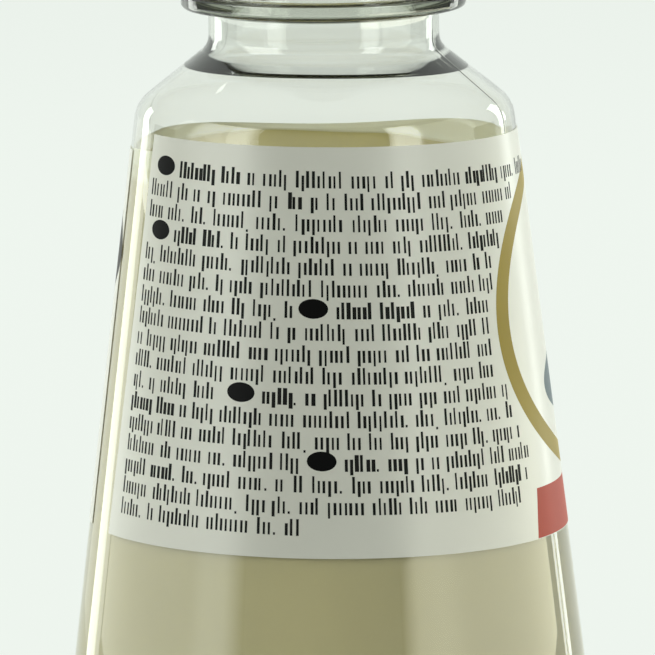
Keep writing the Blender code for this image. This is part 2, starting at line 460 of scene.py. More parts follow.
@dataclass(frozen=True)
class Cream(Finish):
    """Mayonnaise: an opaque emulsion with a painted shade on its top, a painted highlight where the top turns
    up at the wall, and a thin pale film up the wall.

    Attributes:
        shaded_top: darker, yellower colour of the top, a painted shade for the little light that falls on it.
        rim: paler colour where the top turns up at the wall, a painted highlight along it.
        smeared: colour of the film that clings to the wall.
        shaded_top_heights: the painted shade comes in between these heights, in metres.
        shaded_top_end: the painted shade ends at this value of the film attribute, in millimetres.
        rim_highlight_span: the painted highlight holds between these values.
        smear_start: the film's colour starts at this value.
    """

    # Painted shade: a darker, yellower top stands in for the shade that falls on the mayonnaise's top.
    shaded_top: Colour = (0.51, 0.425, 0.123)
    # Painted highlight: a paler band where the top turns up at the wall stands in for the light it catches.
    rim: Colour = (0.72, 0.68, 0.45)
    smeared: Colour = (0.86, 0.85, 0.66)
    shaded_top_heights: Pair = (105.5 * MM, 106.5 * MM)
    shaded_top_end: float = 0.02
    rim_highlight_span: Pair = (0.07, 0.16)
    smear_start: float = 0.45

    def material(self) -> Material:
        """Make the cream's material, with a painted shade on its top and a painted highlight where it meets
        the wall.
        """
        material, shader = self.new_material()
        self.dress(material, shader)
        tree = material.node_tree
        body = shader.inputs["Base Color"].links[0].from_node
        axes = new_node(tree, "SeparateXYZ")
        low, high = self.shaded_top_heights
        share = new_node(tree, "MapRange", {"From Min": low, "From Max": high})
        film = new_node(tree, "Attribute", attribute_name="film")
        tones = new_node(tree, "ValToRGB")
        ramp = tones.color_ramp
        # The calm top takes the painted shade colour.
        ramp.elements[0].position, ramp.elements[0].color = self.shaded_top_end, (*self.shaded_top, 1.0)
        ramp.elements[1].position, ramp.elements[1].color = self.smear_start, (*self.smeared, 1.0)
        # The turn-up at the wall takes the painted highlight colour.
        for position in self.rim_highlight_span:
            ramp.elements.new(position).color = (*self.rim, 1.0)
        mixed = new_node(tree, "Mix", data_type="RGBA")
        join(new_node(tree, "TexCoord"), "Object", axes, "Vector")
        join(axes, "Z", share, "Value")
        join(film, "Fac", tones, "Fac")
        join(share, "Result", mixed, "Factor")
        join(body, "Result", mixed, "A")
        join(tones, "Color", mixed, "B")
        join(mixed, "Result", shader, "Base Color")
        return material


@dataclass(frozen=True)
class LabelFilm(Finish):
    """White label film with a varnished face.

    Attributes:
        coat: weight of the varnish.
        coat_roughness: roughness of the varnish.
    """

    coat: float = 0.15
    coat_roughness: float = 0.15

    def material(self) -> Material:
        """Make the film's material."""
        material, shader = self.new_material()
        given(shader, {"Coat Weight": self.coat, "Coat Roughness": self.coat_roughness})
        self.dress(material, shader)
        return material


class Ink(Enum):
    """The label's printing inks, as linear colours."""

    BLACK = (0.003, 0.003, 0.003)
    TEXT = (0.014, 0.014, 0.013)
    GOLD = (0.37, 0.275, 0.045)
    RED = (0.50, 0.09, 0.06)
    SLATE = (0.16, 0.20, 0.22)


# ---- The bottle ------------------------------------------------------------


@dataclass
class Bottle:
    """Clear tapered bottle with a support ring under its finish, turned as one open-mouthed shell.

    Attributes:
        ledge: height of the step inside the neck, above which the finish narrows.
        ledge_rise: how much higher the step's inner edge is.
        ledge_rounds: roundings of the step's outer and inner corner.
        collar_round: rounding between the neck and the ring's underside.
        wedge_radius: radius at which the thin shoulder starts to thicken.
        wedge_angles: how much flatter than the shoulder's outside the second and the first run are.
        wedge_step: length of the first run.
        wedge_rounds: roundings of the wedge's three corners.
        wedge_shifts: parts of the wedge's shift: a constant, times a sine, and times a squared sine.
        wedge_reach: how far from the wedge's foot the shift goes, up and down.
        wave_height: height of the waves of the wall's inside.
        seam_azimuths: where the mould seams are, in degrees.
        seam_width: their half width, in degrees.
        seam_rest: share of the seams' height that is left low on the body.
        seam_fade: softness of their fade at the shoulder's foot.
        arc_step: largest turn between two points of the outline, in radians.
        run_step: largest distance between two of them.
    """

    ring_underside: float = 130.4 * MM
    neck_drop: float = 5.46 * MM
    ring_thickness: float = 2.2 * MM
    finish_height: float = 15.0 * MM
    neck_radius: float = 17.0 * MM
    neck_bore: float = 15.5 * MM
    finish_bore: float = 13.6 * MM
    finish_radius: float = 16.8 * MM
    ledge: float = 129.85 * MM
    ledge_rise: float = 0.35 * MM
    ring_radius: float = 21.0 * MM
    shoulder_radius: float = 27.77 * MM
    taper: float = math.radians(7.0)
    shoulder_slope: float = math.radians(38.7)
    standing_radius: float = 29.0 * MM
    punt_radius: float = 25.5 * MM
    punt_depth: float = 2.4 * MM
    punt_crown: float = 0.8 * MM
    ring_round: float = 0.8 * MM
    ring_top_round: float = 0.3 * MM
    finish_round: float = 0.2 * MM
    collar_round: float = 0.3 * MM
    ledge_rounds: Pair = (0.4 * MM, 0.3 * MM)
    neck_round: float = 3.0 * MM
    shoulder_round: float = 5.0 * MM
    heel_round: float = 7.0 * MM
    punt_round: float = 1.5 * MM
    shoulder_wall: float = 0.45 * MM
    heel_wall: float = 0.45 * MM
    wedge_radius: float = 20.5 * MM
    wedge_angles: Pair = (math.radians(9.45), math.radians(18.0))
    wedge_step: float = 1.0 * MM
    wedge_rounds: Triple = (0.5 * MM, 0.5 * MM, 4.5 * MM)
    wedge_shifts: Triple = (-0.17 * MM, 0.30 * MM, 0.58 * MM)
    wedge_reach: float = 1.6 * MM
    wave_height: float = 0.012 * MM
    base_wall: float = 1.2 * MM
    seam_azimuths: Pair = (69.0, 249.0)
    seam_height: float = 0.06 * MM
    seam_width: float = 0.35
    seam_rest: float = 0.25
    seam_fade: float = 1.5 * MM
    arc_step: float = math.radians(5.0)
    run_step: float = 4.0 * MM
    columns: int = 240

    def __post_init__(self) -> None:
        """Work out the heights and radii that follow from the driving sizes."""
        self.neck_corner = self.ring_underside - self.neck_drop
        fall = (self.shoulder_radius - self.neck_radius) * math.tan(self.shoulder_slope)
        self.shoulder_height = self.neck_corner - fall
        self.ring_top = self.ring_underside + self.ring_thickness
        self.rim = self.ring_top + self.finish_height

    def outer_radius(self, height: Array) -> Array:
        """Radius of the tapered body's outside: it widens downwards at the tangent of the taper."""
        return self.shoulder_radius + (self.shoulder_height - height) * math.tan(self.taper)

    def outer_corners(self) -> list[Triple]:
        """Corners of the outside, from the rim down to the middle of the base."""
        return [
            (self.finish_radius, self.rim, 0.0),
            (self.finish_radius, self.ring_top, self.finish_round),
            (self.ring_radius, self.ring_top, self.ring_top_round),
            (self.ring_radius, self.ring_underside, self.ring_round),
            (self.neck_radius, self.ring_underside, self.collar_round),
            (self.neck_radius, self.neck_corner, self.neck_round),
            (self.shoulder_radius, self.shoulder_height, self.shoulder_round),
            (float(self.outer_radius(0.0)), 0.0, self.heel_round),
            (self.standing_radius, 0.0, self.punt_round),
            (self.punt_radius, self.punt_depth, self.punt_round),
            (0.0, self.punt_depth + self.punt_crown, 0.0),
        ]

    def inner_corners(self, reach: float = 0.0) -> list[Triple]:
        """Corners of the inside, from the middle of the base up to the neck.

        Args:
            reach: how far to go into the wall, for what fills the bottle.

        Returns:
            Corners as radius, height and rounding.
        """
        neck, shoulder, heel, standing, punt, middle = self.outer_corners()[5:]
        return [
            (0.0, middle[1] + self.base_wall - reach, 0.0),
            (*inset(standing, punt, middle, self.base_wall - reach), self.punt_round),
            (*inset(heel, standing, punt, self.base_wall - reach), self.punt_round),
            (*inset(shoulder, heel, standing, self.heel_wall - reach), self.heel_round - self.heel_wall),
            (
                *inset(neck, shoulder, heel, self.shoulder_wall - reach),
                self.shoulder_round - self.shoulder_wall,
            ),
            *self.wedge_corners(),
        ]

    def wedge_corners(self) -> list[Triple]:
        """Corners where the thin shoulder thickens, in two flatter steps, towards the unblown neck."""
        slope = self.shoulder_slope
        fall = (self.wedge_radius - self.neck_radius) * math.tan(slope)
        first = np.array([self.wedge_radius, self.neck_corner - fall])
        first -= self.shoulder_wall * np.array([math.sin(slope), math.cos(slope)])
        second_slope, first_slope = (slope - angle for angle in self.wedge_angles)
        second = first + self.wedge_step * np.array([-math.cos(first_slope), math.sin(first_slope)])
        run = second[0] - self.neck_bore
        third = (self.neck_bore, second[1] + run * math.tan(second_slope))
        return [(*corner, rounding) for corner, rounding in zip((first, second, third), self.wedge_rounds)]

    def azimuths(self) -> Array:
        """Azimuths of the columns, with extra ones across the two mould seams."""
        even = np.linspace(-180.0, 180.0, self.columns, endpoint=False)
        near = np.arange(-5, 6) * self.seam_width / 2.5
        seams = [(seam + 180.0) % 360.0 - 180.0 + near for seam in self.seam_azimuths]
        clear = np.all([np.abs(even - seam[5]) > 1.2 * near[-1] for seam in seams], axis=0)
        return np.radians(np.sort(np.concatenate([even[clear], *seams])))

    def seam_relief(self, height: Array, azimuth: Array) -> Array:
        """Height of the mould seams: a narrow ridge of bell shape across, which fades down the body.

        Args:
            height: heights, in metres.
            azimuth: azimuths, in radians.

        Returns:
            How far the seams stand out there, in metres.
        """
        ridge = np.zeros(np.broadcast(height, azimuth).shape)
        for seam in self.seam_azimuths:
            turn = np.abs((np.degrees(azimuth) - seam + 180.0) % 360.0 - 180.0)
            ridge = ridge + np.exp(-((turn / self.seam_width) ** 2))
        rise = 1.0 / (1.0 + np.exp(-(height - self.shoulder_height) / self.seam_fade))
        fade = self.seam_rest + (1.0 - self.seam_rest) * rise
        below_ring = height < self.ring_underside - 0.5 * MM
        return ridge * self.seam_height * fade * below_ring

    def wall_waves(self, height: Array, azimuth: Array) -> Array:
        """Unevenness of the blown wall's inside: two slow sine waves that wind round it.

        Args:
            height: heights, in metres.
            azimuth: azimuths, in radians.

        Returns:
            How far the inside lies out there, in metres.
        """
        waves = np.sin(3 * azimuth + height / (9 * MM)) + 0.6 * np.sin(7 * azimuth - height / (6 * MM))
        blown = 1.0 / (1.0 + np.exp((height - self.neck_corner) / (1.0 * MM)))
        return self.wave_height * waves * blown

    def wedge_shift(self, height: Array, azimuth: Array) -> Array:
        """How far the wedge lies out down the slope: a constant, a sine and a squared sine of the azimuth.

        Args:
            height: heights, in metres.
            azimuth: azimuths, in radians.

        Returns:
            The shift there, in metres.
        """
        start = self.wedge_corners()[0][1]
        near = np.exp(-(((height - start) / self.wedge_reach) ** 4))
        steady, across, sides = self.wedge_shifts
        return (steady + across * np.sin(azimuth) + sides * np.sin(azimuth) ** 2) * near

    def build(self, finish: Finish) -> Item:
        """Turn the shell: the inside from base to rim, then the outside from rim to base.

        Args:
            finish: its finish.

        Returns:
            The shell.
        """
        finish_inside = [
            (self.neck_bore, self.ledge, self.ledge_rounds[0]),
            (self.finish_bore, self.ledge + self.ledge_rise, self.ledge_rounds[1]),
            (self.finish_bore, self.rim, 0.0),
        ]
        inside = rounded_outline([*self.inner_corners(), *finish_inside], self.arc_step, self.run_step)
        outside = rounded_outline(self.outer_corners(), self.arc_step, self.run_step)
        azimuth = self.azimuths()[None, :]
        inner_r, inner_z = inside[1:, :1], inside[1:, 1:]
        outer_r, outer_z = outside[:-1, :1], outside[:-1, 1:]
        shift = self.wedge_shift(inner_z, azimuth)
        inner = around(
            inner_r + self.wall_waves(inner_z, azimuth) + shift,
            inner_z - shift * math.tan(self.shoulder_slope),
            azimuth,
        )
        outer = around(outer_r + self.seam_relief(outer_z, azimuth), outer_z, azimuth)
        rings = np.concatenate([inner, outer])
        return turned_object("bottle_shell", finish.material(), rings, inside[0, 1], outside[-1, 1])


@dataclass
class Contents:
    """Mayonnaise that wets the wall, with an uneven top and a thin smear left on the wall above it.

    Attributes:
        bottle: the bottle that holds it.
        level: mean height of its top.
        mound: height of the mound, its middle's place along X, and its half width.
        slump: depth of the step down, its place along X, and its softness.
        swell: height of the swells.
        wall_level: mean height that the smear reaches.
        waves: heights of the smear's waves of four, one and five, in millimetres.
        smear: distance from the wall over which the smear thins out.
        reach: how far it goes into the bottle's wall.
        arc_step: largest turn between two points of its side's outline, in radians.
        run_step: largest distance between two of them.
    """

    bottle: Bottle
    level: float = 108.4 * MM
    mound: Triple = (0.75 * MM, -9.0 * MM, 8.0 * MM)
    slump: Triple = (1.0 * MM, 12.0 * MM, 1.5 * MM)
    swell: float = 0.12 * MM
    wall_level: float = 110.92 * MM
    waves: Triple = (-0.42, 0.36, 0.05)
    smear: float = 0.22 * MM
    reach: float = 0.06 * MM
    arc_step: float = math.radians(6.0)
    run_step: float = 3.0 * MM
    columns: int = 192
    rings: int = 56

    def surface(self, x: Array, y: Array) -> Array:
        """Height of the top: a bell-shaped mound at -X, a smooth step down towards +X and low cosine swells.

        Args:
            x: places along X, in metres.
            y: places along Y, in metres.

        Returns:
            The heights, in metres.
        """
        height, middle, half_width = self.mound
        mound = height * np.exp(-(((x - middle) / half_width) ** 2))
        depth, middle, softness = self.slump
        slump = -depth / (1.0 + np.exp(-(x - middle) / softness))
        swell = self.swell * np.cos(x / (4 * MM) + 0.6) * np.cos(y / (5 * MM) - 0.4)
        return self.level + mound + slump + swell

    def wetted(self, azimuth: Array) -> Array:
        """Height that the smear reaches: highest on +X and between the axes, by three slow waves."""
        shapes = (np.cos(4 * azimuth), np.sin(azimuth), np.sin(5 * azimuth + 1.0))
        return self.wall_level + sum(size * shape for size, shape in zip(self.waves, shapes)) * MM

    def mark_film(self, item: Item) -> None:
        """Store how far each point stands above the calm top, in millimetres: 0 on it, 0.3 along the wall.

        Args:
            item: the mayonnaise's body.
        """
        points = np.empty(3 * len(item.data.vertices))
        item.data.vertices.foreach_get("co", points)
        x, y, z = points.reshape(-1, 3).T
        above = (z - self.surface(x, y)) / MM
        above = np.where(above < -0.05, 0.3, np.clip(above, 0.0, None))
        item.data.attributes.new("film", "FLOAT", "POINT").data.foreach_set("value", above)

    def build(self, finish: Finish) -> Item:
        """Turn the body: its top from the middle to the wall, then its side down to the base's middle.

        The top rises from the calm surface to the smear's edge by exp(-distance from the wall / smear).

        Args:
            finish: its finish.

        Returns:
            The body.
        """
        corners = self.bottle.inner_corners(self.reach)[:-3]
        shoulder, heel = np.array(corners[-1][:2]), np.array(corners[-2][:2])
        rim = heel + (shoulder - heel) * (self.wall_level - heel[1]) / (shoulder[1] - heel[1])
        corners[-1] = (*rim, 0.0)
        side = rounded_outline(corners, self.arc_step, self.run_step)[::-1]
        azimuth = np.linspace(-math.pi, math.pi, self.columns, endpoint=False)[None, :]
        wetted = self.wetted(azimuth)
        share = 1.0 - (1.0 - np.linspace(0.0, 1.0, self.rings + 1)[1:, None]) ** 2.0
        edge = rim[0] - (wetted - rim[1]) * math.tan(self.bottle.taper)
        top = around(edge * share, self.level, azimuth)
        calm = self.surface(top[..., 0], top[..., 1])
        top[..., 2] = calm + (wetted - calm) * np.exp(-edge * (1.0 - share) / self.smear)
        sides = around(side[1:-1, :1], side[1:-1, 1:], azimuth)
        middle = float(self.surface(np.array(0.0), np.array(0.0)))
        below = sides[:, 0, 2] < self.wall_level - 1.0 * MM
        rings = np.concatenate([top, sides[below]])
        item = turned_object("mayonnaise_body", finish.material(), rings, middle, side[-1, 1])
        self.mark_film(item)
        return item


# ---- The label and its print -----------------------------------------------


@dataclass
class Label:
    """Wrap-round film label, stuck on a little crooked, with printed shapes in place of words.

    Attributes:
        start: azimuth of its first edge's foot, in degrees.
        start_lean: how far that edge's head is turned on from its foot, in degrees.
        end: azimuth of its other edge, in degrees.
        front_drop: how much lower its top edge is on the other panel.
        drop_span: azimuths between which the top edge steps down, in degrees.
        side_tilt: how much it tilts along X.
        back_tilt: how much it tilts along Y.
        lift: gap between the bottle and the film.
        ink: how far the ink stands out of the film, and sinks into it.
        field_start: azimuth of the red field's first edge at its head and its foot, in degrees.
        field_end: azimuth of its other edge, in degrees.
        field_heights: its head and its foot above the label's bottom.
        film_grid: rows and columns of the film.
        field_grid: rows and columns of the red field.
    """

    bottle: Bottle
    top: float = 112.86 * MM
    bottom: float = 53.97 * MM
    start: float = -65.5
    start_lean: float = 4.0
    end: float = 280.0
    front_drop: float = 3.4 * MM
    drop_span: Pair = (88.0, 135.0)
    side_tilt: float = math.radians(0.83)
    back_tilt: float = math.radians(0.6)
    lift: float = 0.03 * MM
    thickness: float = 0.09 * MM
    ink: float = 0.012 * MM
    field_start: Pair = (61.8, 59.8)
    field_end: float = 142.0
    field_heights: Pair = (7.3 * MM, 0.1 * MM)
    film_grid: tuple[int, int] = (25, 241)
    field_grid: tuple[int, int] = (5, 40)

    def surface(self, azimuth: Array, height: Array, proud: float) -> Array:
        """Point of the label's face: it follows the taper, and tilts by its height's lean along X and Y.

        Args:
            azimuth: in radians.
            height: height before the tilt, in metres.
            proud: distance from the bottle's wall.

        Returns:
            Points with (x, y, z) last.
        """
        flat = around(self.bottle.outer_radius(height), height, azimuth)
        lean = flat[..., 0] * math.tan(self.side_tilt) + flat[..., 1] * math.tan(self.back_tilt)
        z = flat[..., 2] - lean
        radius = self.bottle.outer_radius(z) + proud / math.cos(self.bottle.taper)
        return around(radius, z, np.broadcast_to(azimuth, z.shape))

    def build_film(self, finish: Finish) -> Item:
        """Make the film as a closed sheet on a grid of azimuth and height.

        Its top edge steps down to the other panel, along 3 s^2 - 2 s^3 with s the share of the step's span.

        Args:
            finish: its finish.

        Returns:
            The film.
        """
        rows, columns = self.film_grid
        rise = np.linspace(1.0, 0.0, rows)[:, None]
        start = self.start + self.start_lean * rise
        turn = start + (self.end - start) * np.linspace(0.0, 1.0, columns)[None, :]
        low, high = self.drop_span
        share = np.clip((turn - low) / (high - low), 0.0, 1.0)
        top = self.top - self.front_drop * share**2 * (3.0 - 2.0 * share)
        azimuth = np.radians(turn)
        height = self.bottom + (top - self.bottom) * rise
        outer = self.surface(azimuth, height, self.lift + self.thickness)
        inner = self.surface(azimuth, height, self.lift)
        return sheet_object("label_film", finish.material(), outer, inner)

    def inked(self, azimuth: Array, height: Array) -> list[Array]:
        """Outer and inner face of a film of ink on the label's face."""
        face = self.lift + self.thickness
        return [self.surface(azimuth, height, face + side * self.ink) for side in (1.0, -1.0)]

    def printed(
        self, name: str, azimuth: Array, height: Array, colour: Ink, closed: bool = False, shine: float = 0.06
    ) -> Item:
        """Print a grid of label places as a film of ink on the label's face."""
        material = Finish(name, colour.value, 0.4, clouds=0.05, shine=shine).material()
        return sheet_object(name, material, *self.inked(azimuth, height), closed)

    def build_red_field(self) -> Item:
        """Make the red field along the label's bottom, on a grid of azimuth and height."""
        rows, columns = self.field_grid
        turn = np.linspace(np.linspace(*self.field_start, rows), self.field_end, columns, axis=-1)
        height = self.bottom + np.linspace(*self.field_heights, rows)[:, None]
        return self.printed("red_field", np.radians(turn), height, Ink.RED)


@dataclass(frozen=True)
class Oval:
    """An ellipse on the label.

    Attributes:
        azimuth: its middle's azimuth, in degrees.
        height: its middle's height, in metres.
        half_width: half its width along the label, in metres.
        half_height: half its height, in metres.
        step: how far apart the places that fill it are at most, so that their faces stay on the label.
        least: least numbers of rows and columns that fill it.
        tip: the rows stop this turn short of its top and its bottom, in radians.
    """

    azimuth: float
    height: float
    half_width: float
    half_height: float
    step: float = 0.6 * MM
    least: tuple[int, int] = (13, 9)
    tip: float = 0.04

    def spread(self, label: Label, across: Array, up: Array) -> tuple[Array, Array]:
        """Turn distances across and up from the middle into azimuths and heights."""
        radius = float(label.bottle.outer_radius(self.height))
        return math.radians(self.azimuth) + across / radius, self.height + up

    def field(self, label: Label) -> tuple[Array, Array]:
        """Places that fill the ellipse: rows at equal turns down it, each as wide as the ellipse is there.

        Args:
            label: the label that it is on.

        Returns:
            Azimuths and heights, as rows by columns.
        """
        rows = max(self.least[0], math.ceil(math.pi * self.half_width / self.step))
        columns = max(self.least[1], math.ceil(2 * self.half_width / self.step))
        turn = np.linspace(self.tip, math.pi - self.tip, rows)[:, None]
        share = np.linspace(-1.0, 1.0, columns)[None, :]
        across = share * self.half_width * np.sin(turn)
        up = self.half_height * np.cos(turn) + 0 * share
        return self.spread(label, across, up)

    def band(self, label: Label, width: float, steps: int = 160) -> tuple[Array, Array]:
        """Places between the ellipse and a smaller one, by the ellipse's own sine and cosine.

        Args:
            label: the label that it is on.
            width: distance between the two.
            steps: number of places round it.

        Returns:
            Azimuths and heights, as rows by columns.
        """
        turn = np.linspace(0.0, math.tau, steps, endpoint=False)[None, :]
        grow = np.linspace(0.0, -width, 4)[:, None]
        across = (self.half_width + grow) * np.sin(turn)
        up = (self.half_height + grow) * np.cos(turn)
        return self.spread(label, across, up)


@dataclass(frozen=True)
class Row:
    """One row of the small print.

    Attributes:
        end: the azimuth where it ends, in degrees.
        badge: the azimuth of its badge's middle, where it has one.
        bold: numbers of its bold words.
    """

    end: float
    badge: float | None = None
    bold: tuple[int, ...] = ()


@dataclass
class SmallPrint:
    """Greeked small print: rows of plain upright bars, spaced in words, with no letters among them.

    Attributes:
        label: the label that carries it.
        rows: the rows, from the top.
        first: height of the first row's middle; the others follow a pitch apart.
        start: azimuth where the rows start, in degrees.
        tilt: how much more than the label the rows slope.
        step: distance between two bars of a word.
        strokes: mean thickness of a plain and of a bold bar.
        uneven: a bar's thickness varies between these shares of the mean.
        offset: how far a bar sits from the left of its step.
        space: gap after a word.
        word_lengths: bars in a word, as the lengths that are drawn.
        word_shares: how often each of the lengths comes.
        tall: share of the bars with an ascender, and with one at the start of a word.
        low: bars drawn above this share have a descender.
        stops: share of the longer words that end in a stop.
        stop: width and height of a stop.
        badge_rise: height of a badge's middle above its row's.
        badge_half: half width and half height of a badge.
        badge_gaps: least gap before a badge, gap that a cut word leaves before it, and gap after it.
        word_room: least distance from a badge's middle at which a cut word still starts.
        shortest: least width of a cut word at a row's end, in steps.
        bold_words: number of bold words after a badge.
        seed: number that the random draws start from.
    """

    label: Label
    rows: tuple[Row, ...]
    first: float = 107.89 * MM
    pitch: float = 3.117 * MM
    start: float = -60.0
    tilt: float = math.radians(0.8)
    step: float = 0.78 * MM
    strokes: Pair = (0.37 * MM, 0.52 * MM)
    uneven: Pair = (0.75, 1.2)
    offset: Pair = (0.04, 0.2)
    space: Pair = (0.75, 1.15)
    word_lengths: tuple[int, ...] = (2, 3, 4, 5, 6, 7, 8, 9, 10)
    word_shares: tuple[float, ...] = (0.14, 0.08, 0.1, 0.14, 0.16, 0.14, 0.1, 0.08, 0.06)
    tall: Pair = (0.28, 0.4)
    low: float = 0.88
    stops: float = 0.22
    stop: Pair = (0.3 * MM, 0.36 * MM)
    x_height: float = 1.75 * MM
    ascender: float = 0.66 * MM
    descender: float = 0.50 * MM
    badge_rise: float = 0.55 * MM
    badge_half: Pair = (2.15 * MM, 1.42 * MM)
    badge_gaps: Triple = (0.3 * MM, 0.7 * MM, 1.0 * MM)
    word_room: float = 3.4 * MM
    shortest: float = 1.2
    bold_words: int = 2
    seed: int = 7

    def bars(self) -> tuple[Array, Array, Array, Array]:
        """Left and right azimuth, foot and head of every bar, walked row by row along the arc."""
        draw = np.random.default_rng(self.seed)
        found: list[tuple[float, float, float, float]] = []
        before, cut, after = self.badge_gaps
        for number, row in enumerate(self.rows):
            middle = self.first - number * self.pitch
            radius = float(self.label.bottle.outer_radius(middle))
            place, end = math.radians(self.start) * radius, math.radians(row.end) * radius
            badge = None if row.badge is None else math.radians(row.badge) * radius
            words = 0
            since_badge = math.inf
            while place < end:
                length = int(draw.choice(self.word_lengths, p=self.word_shares))
                width = length * self.step
                if badge is not None and place + width > badge - self.badge_half[0] - before:
                    if place < badge - self.word_room:
                        width = badge - self.badge_half[0] - cut - place
                    else:
                        place, badge, since_badge = badge + self.badge_half[0] + after, None, 0
                        continue
                if place + width > end:
                    width = end - place
                    if width < self.shortest * self.step:
                        break
                length = max(1, round(width / self.step))
                heavy = since_badge < self.bold_words or words in row.bold
                thickness = self.strokes[heavy]
                for k in range(length):
                    left = place + k * self.step + draw.uniform(*self.offset) * MM
                    kind = draw.random()
                    wide = thickness * draw.uniform(*self.uneven)
                    foot, top = middle - self.x_height / 2, middle + self.x_height / 2
                    if kind < self.tall[k == 0]:
                        top += self.ascender
                    elif kind > self.low:
                        foot -= self.descender
                    if k == length - 1 and length > 3 and draw.random() < self.stops:
                        top, wide = foot + self.stop[1], self.stop[0]
                    found.append((left / radius, (left + wide) / radius, foot, top))
                place += width + draw.uniform(*self.space) * MM
                words += 1
                since_badge += 1
        return tuple(np.array(found).T)

    def places(self, azimuth: Array, height: Array) -> tuple[Array, Array]:
        """Lean places along the rows, which slope a little more than the label's edges."""
        radius = self.label.bottle.outer_radius(height)
        return azimuth, height - radius * np.sin(azimuth) * math.tan(self.tilt)

    def build_bars(self) -> Item:
        """Make every bar as a closed box of ink, all in one mesh."""
        left, right, foot, top = self.bars()
        azimuth = np.stack([left, left, right, right], axis=1)
        height = np.stack([top, foot, foot, top], axis=1)
        azimuth, height = self.places(azimuth, height)
        points = np.concatenate(self.label.inked(azimuth, height), axis=1)
        box = np.array([[0, 1, 2, 3], [7, 6, 5, 4], [4, 5, 1, 0], [5, 6, 2, 1], [6, 7, 3, 2], [7, 4, 0, 3]])
        faces = (np.arange(len(points)) * 8)[:, None, None] + box
        material = Finish("ink_text", Ink.TEXT.value, 0.4, clouds=0.1, shine=0.06).material()
        return mesh_object("small_print_bars", material, points, [faces.reshape(-1, 4)], smooth=False)

    def build_badges(self) -> list[Item]:
        """Make the black ovals that start the paragraphs."""
        badges = []
        for number, row in enumerate(self.rows):
            if row.badge is None:
                continue
            height = self.first - number * self.pitch + self.badge_rise
            places = self.places(*Oval(row.badge, height, *self.badge_half).field(self.label))
            badges.append(self.label.printed(f"badge_{number + 1}", *places, Ink.BLACK))
        return badges


# ---- The cap ---------------------------------------------------------------


@dataclass
class Cap:
    """Flip-top cap, shut: straight skirt, seam under the lid, hinge in front and thumb scoop at the back."""

    bottle: Bottle
    gap: float = 1.45 * MM
    radius: float = 20.75 * MM
    height: float = 26.0 * MM
    seam: float = 17.0 * MM
    seam_width: float = 0.6 * MM
    seam_depth: float = 0.5 * MM
    lip_round: float = 0.15 * MM
    edge_round: float = 1.6 * MM
    crown: float = 0.5 * MM
    inner_radius: float = 18.6 * MM
    skirt_rounds: Pair = (0.3 * MM, 0.2 * MM)
    ceiling_gap: float = 0.3 * MM
    ceiling_round: float = 0.4 * MM
    scoop_radius: float = 11.0 * MM
    scoop_depth: float = 1.6 * MM
    scoop_drop: float = 1.5 * MM
    hinge_half: float = 5.5 * MM
    hinge_height: float = 4.0 * MM
    hinge_proud: float = 0.2 * MM
    hinge_depth: float = 1.2 * MM
    arc_step: float = math.radians(9.0)
    run_step: float = 0.7 * MM

    def __post_init__(self) -> None:
        """Work out the heights of the skirt's rim, the seam and the top."""
        self.rim = self.bottle.ring_top + self.gap
        self.seam_floor = self.rim + self.seam
        self.top = self.rim + self.height

    def corners(self) -> list[Triple]:
        """Corners of the cap, from the middle of its top down the outside and up the inside."""
        groove = self.radius - self.seam_depth
        ceiling = self.bottle.rim + self.ceiling_gap
        return [
            (0.0, self.top, 0.0),
            (self.radius, self.top - self.crown, self.edge_round),
            (self.radius, self.seam_floor + self.seam_width, self.lip_round),
            (groove, self.seam_floor + self.seam_width, 0.0),
            (groove, self.seam_floor, 0.0),
            (self.radius, self.seam_floor, self.lip_round),
            (self.radius, self.rim, self.skirt_rounds[0]),
            (self.inner_radius, self.rim, self.skirt_rounds[1]),
            (self.inner_radius, ceiling, self.ceiling_round),
            (0.0, ceiling, 0.0),
        ]

    def scooped(self, radius: Array, height: Array, azimuth: Array) -> Array:
        """Press the thumb scoop in.

        The scoop is a ball on +Y. Along a ray at turn b from +Y it is met at
        c cos b - sqrt(s^2 - h^2 - c^2 sin^2 b), with c the distance of the ball's middle from the axis, s its
        radius and h the height from its middle.

        Args:
            radius: radii before the scoop, in metres.
            height: heights, in metres.
            azimuth: azimuths, in radians.

        Returns:
            The radii with the scoop.
        """
        middle = self.radius + self.scoop_radius - self.scoop_depth
        rise = height - (self.seam_floor - self.scoop_drop)
        turn = azimuth - math.pi
        under = self.scoop_radius**2 - rise**2 - (middle * np.sin(turn)) ** 2
        met = middle * np.cos(turn) - np.sqrt(np.clip(under, 0.0, None))
        outside = radius > self.radius - 1.01 * self.seam_depth
        return np.where((under > 0.0) & outside & (np.cos(turn) > 0.0), np.minimum(radius, met), radius)

    def build(self, finish: Finish) -> list[Item]:
        """Make the cap's shell and its hinge.

        Args:
            finish: its finish.

        Returns:
            The shell and the hinge.
        """
        outline = rounded_outline(self.corners(), self.arc_step, self.run_step)
        # Columns every 3 degrees, and every 0.8 degrees across the scoop
        even = np.radians(np.arange(-165.0, 165.1, 3.0))
        fine = np.radians(np.arange(166.0, 194.1, 0.8))
        azimuth = np.concatenate([even, fine])[None, :]
        r, z = outline[1:-1, :1], outline[1:-1, 1:]
        side = around(self.scooped(r, z, azimuth), z, azimuth)
        material = finish.material()
        shell = turned_object("cap_shell", material, side, outline[0, 1], outline[-1, 1])
        reach = math.asin(self.hinge_half / self.radius)
        turns = np.linspace(-reach, reach, 15)[None, :]
        middle = self.seam_floor + self.seam_width / 2
        # The hinge's section: shares of its height, and how proud each is
        rows = middle + self.hinge_height * np.array([0.5, 0.47, 0.4, 0.1, -0.1, -0.4, -0.47, -0.5])[:, None]
        proud = self.hinge_proud * np.array([0.0, 0.7, 1.0, 1.0, 1.0, 1.0, 0.7, 0.0])[:, None]
        outer = around(self.radius + proud + 0 * turns, rows, turns)
        inner = around(self.radius - self.hinge_depth, rows, turns)
        return [shell, sheet_object("cap_hinge", material, outer, inner)]


# ---- The studio ------------------------------------------------------------


